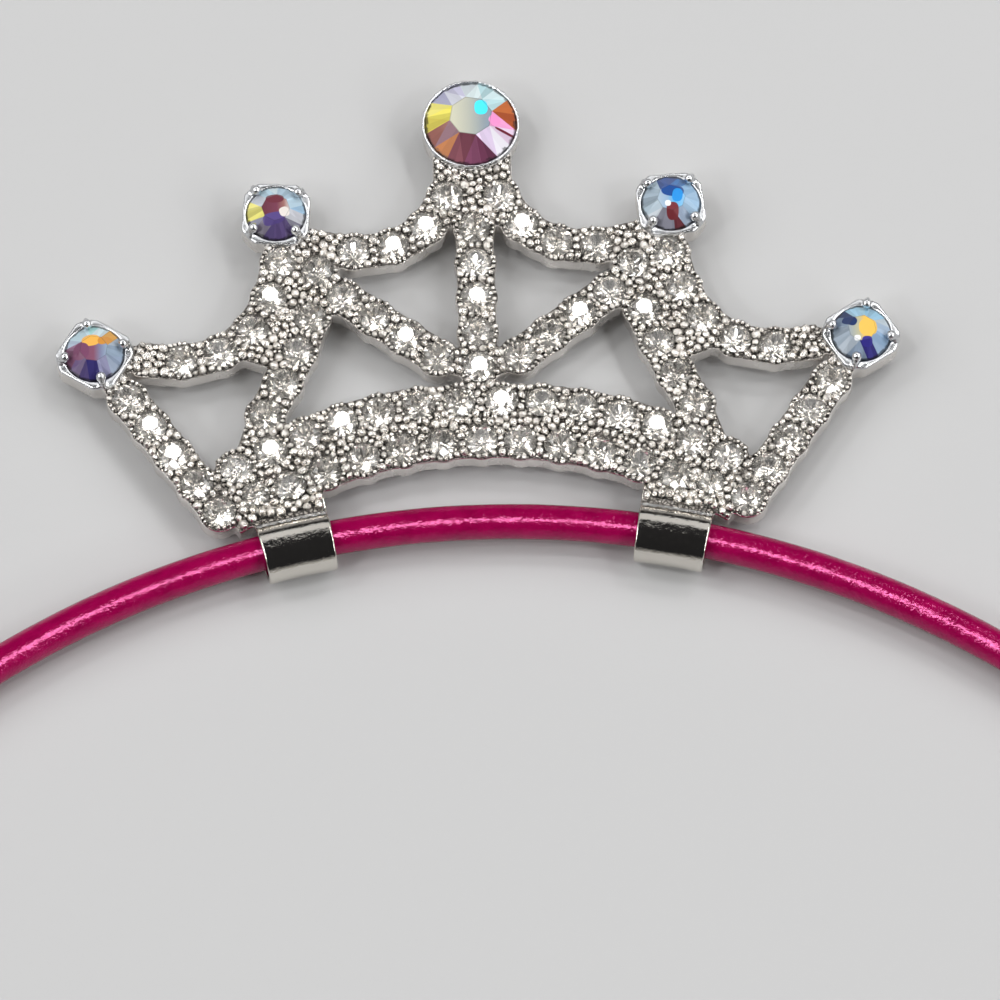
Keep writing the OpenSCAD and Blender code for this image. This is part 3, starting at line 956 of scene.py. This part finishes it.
def add_light(name, elevation, azimuth, distance, width, height, radiance,
              only=(), but=(), diffuse=True):
    """A soft box that faces the crown. Elevation 0 is the camera's side, 90 overhead and 180
    the far side; azimuth leans it to the right. It lights all pieces, only some, or all but
    some."""
    e, a = math.radians(elevation), math.radians(azimuth)
    aim = Vector((0, 45 * MM, 0))
    direction = Vector((math.sin(a), -math.cos(e) * math.cos(a), math.sin(e) * math.cos(a)))
    data = bpy.data.lights.new(name, "AREA")
    data.shape, data.size, data.size_y = "RECTANGLE", width, height
    data.energy = radiance * math.pi * width * height
    light = bpy.data.objects.new(name, data)
    scene.collection.objects.link(light)
    light.location = aim + direction * distance
    light.rotation_mode = "QUATERNION"
    light.rotation_quaternion = direction.to_track_quat("Z", "Y")
    light.visible_diffuse = diffuse
    if only or but:
        chosen = bpy.data.collections.new(name + "_receivers")
        for piece in only or but:
            chosen.objects.link(bpy.data.objects[piece])
        for member in chosen.collection_objects:
            member.light_linking.link_state = "INCLUDE" if only else "EXCLUDE"
        light.light_linking.receiver_collection = chosen


def make_lights():
    # the surroundings are pale at floor level and dark from a little above it
    world = bpy.data.worlds.new("studio")
    scene.world = world
    world.use_nodes = True
    tree = world.node_tree
    back = tree.nodes["Background"]
    coords = tree.nodes.new("ShaderNodeTexCoord")
    split = tree.nodes.new("ShaderNodeSeparateXYZ")
    tree.links.new(coords.outputs["Generated"], split.inputs[0])
    ramp = tree.nodes.new("ShaderNodeValToRGB")
    level, higher = ramp.color_ramp.elements
    level.position, level.color = 0.0, (0.54, 0.53, 0.515, 1)
    higher.position, higher.color = 0.30, (0.02, 0.02, 0.021, 1)
    tree.links.new(split.outputs[2], ramp.inputs[0])
    tree.links.new(ramp.outputs[0], back.inputs[0])
    back.inputs[1].default_value = 1.0
    # the band's bright streak, the clips' pale lower half, and light for all the rest
    add_light("streak", 79, 0, 0.8, 1.6, 0.18, 20, only=("leather_band",), diffuse=False)
    add_light("clip_box", 134, 0, 0.9, 1.1, 0.5, 0.75, only=("band_clips",))
    add_light("back_box", 134, 0, 0.9, 1.1, 0.5, 1.5, but=("leather_band", "band_clips"))
    # highlights on the crown and its small stones
    jewel = ("pave_crystals", "pave_beads", "cast_frame")
    add_light("strip", 79, 0, 0.8, 1.0, 0.035, 9, only=jewel)
    add_light("overhead", 92, 0, 0.8, 1.2, 0.9, 0.07, only=jewel)
    add_light("glint", 116, 0, 0.8, 0.16, 0.06, 22, only=("pave_crystals",))
    add_light("low_glint", 32, 0, 0.8, 0.34, 0.16, 16, only=("pave_crystals",))
    # large boxes to both sides, and small ones all round, which make the stones sparkle
    add_light("left_box", 92, -52, 0.8, 0.9, 0.42, 2.8)
    add_light("right_box", 92, 52, 0.8, 0.9, 0.42, 2.8)
    spots = ((62, -34), (100, 30), (70, 36), (108, -30), (40, 44), (84, -24), (120, 22))
    for i, (e, a) in enumerate(spots):
        add_light(f"spot_{i}", e, a, 0.7, 0.08, 0.08, 24)


centres = stone_centres()
make_band()
make_small_stones(centres)
make_beads(centres)
make_frame(centres)
make_clips()
for name in AURORA:
    paint(nodes[name], aurora_material(name))
make_floor()
make_lights()
scene.view_settings.view_transform = "Standard"
